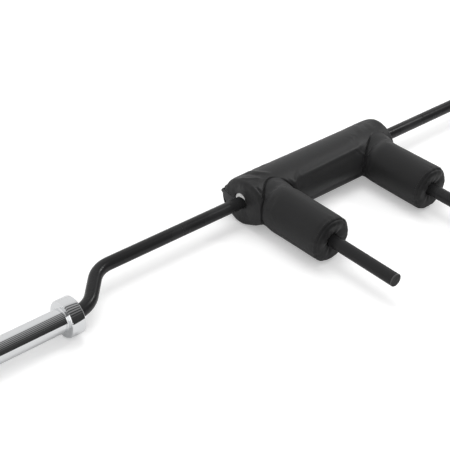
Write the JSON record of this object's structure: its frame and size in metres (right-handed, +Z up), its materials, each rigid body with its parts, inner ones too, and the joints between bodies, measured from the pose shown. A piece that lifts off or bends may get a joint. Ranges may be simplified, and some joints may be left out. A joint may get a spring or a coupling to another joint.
{
  "type": "safety squat bar",
  "caption": "Cranked steel squat bar with forward handles, a foam yoke pad over neck and shoulders, and spinning chromed sleeves for weight plates.",
  "frame": {"origin": "on the floor under the middle of the bar, at the centre of the flat underside of the pad's main roll", "axes": "+X along the bar towards the lifter's left, -Y the way the handles and the lifter face, +Z up"},
  "size_m": [2.2, 0.4764, 0.113],
  "materials": {
    "black_paint": "gloss",
    "plug_plastic": "satin",
    "black_vinyl": "satin",
    "black_tape": "matte",
    "white_foam": "matte",
    "chrome": "polished",
    "bronze": "satin",
    "spring_steel": "satin"
  },
  "bodies": {
    "bar": {"shaft": "black_paint", "handle_right": "black_paint", "handle_left": "black_paint", "handle_plug_right": "plug_plastic", "handle_plug_left": "plug_plastic", "main_cover": "black_vinyl", "main_foam": "white_foam", "shoulder_cover_right": "black_vinyl", "shoulder_cover_left": "black_vinyl", "shoulder_foam_right": "white_foam", "shoulder_foam_left": "white_foam", "closure_flap": "black_vinyl", "loop_tape": "black_tape", "hook_tape": "black_tape", "thrust_washer_right": "spring_steel", "thrust_washer_left": "spring_steel", "circlip_right": "spring_steel", "circlip_left": "spring_steel"},
    "sleeve_right": {"sleeve_right": "chrome", "inner_bush_right": "bronze", "outer_bush_right": "bronze", "end_cap_right": "chrome", "cap_ring_right": "spring_steel"},
    "sleeve_left": {"sleeve_left": "chrome", "inner_bush_left": "bronze", "outer_bush_left": "bronze", "end_cap_left": "chrome", "cap_ring_left": "spring_steel"}
  },
  "joints": [
    {"name": "sleeve_right_spin", "type": "hinge", "parent": "bar", "child": "sleeve_right", "pos_m": [-0.9165, -0.074, 0.04], "axis": [1, 0, 0], "continuous": true},
    {"name": "sleeve_left_spin", "type": "hinge", "parent": "bar", "child": "sleeve_left", "pos_m": [0.9165, -0.074, 0.04], "axis": [1, 0, 0], "continuous": true}
  ]
}
